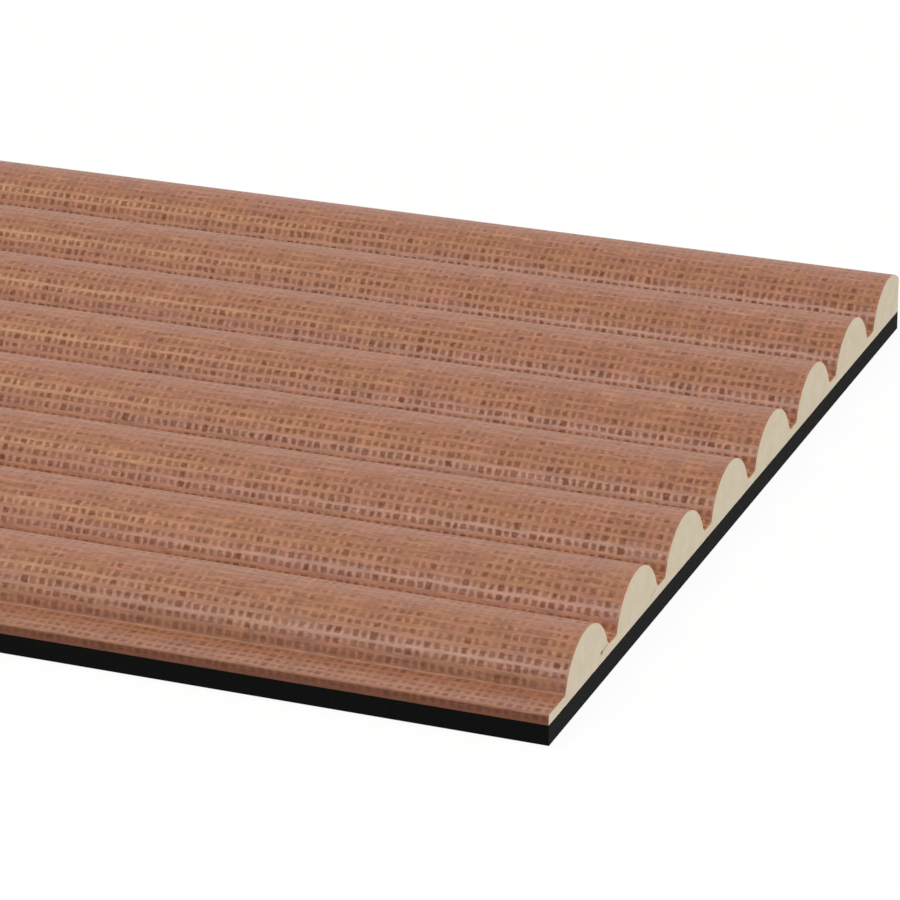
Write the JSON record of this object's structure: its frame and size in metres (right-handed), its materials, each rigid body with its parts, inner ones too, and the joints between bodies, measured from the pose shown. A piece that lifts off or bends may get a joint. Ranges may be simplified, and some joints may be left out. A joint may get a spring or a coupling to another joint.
{
  "type": "slatted acoustic wall panel",
  "caption": "Long flat wall panel with half-round reeds on a one-piece moulded core, a woven-look film over its face and long edges, and a flat felt backing.",
  "frame": {"origin": "middle of the felt's underside, the face that is glued to the wall", "axes": "+X along the reeds, +Y across them from the lip to the cut reed, +Z out of the wall"},
  "size_m": [1.2, 0.16, 0.0106],
  "materials": {
    "core": "matt cream foamed plastic, sawn smooth at the ends",
    "film": "satin brown film with a plain woven look",
    "felt": "dense black felt"
  },
  "bodies": {
    "root": {"reeded_core": "core", "woven_film": "film", "felt_backing": "felt"}
  },
  "joints": []
}
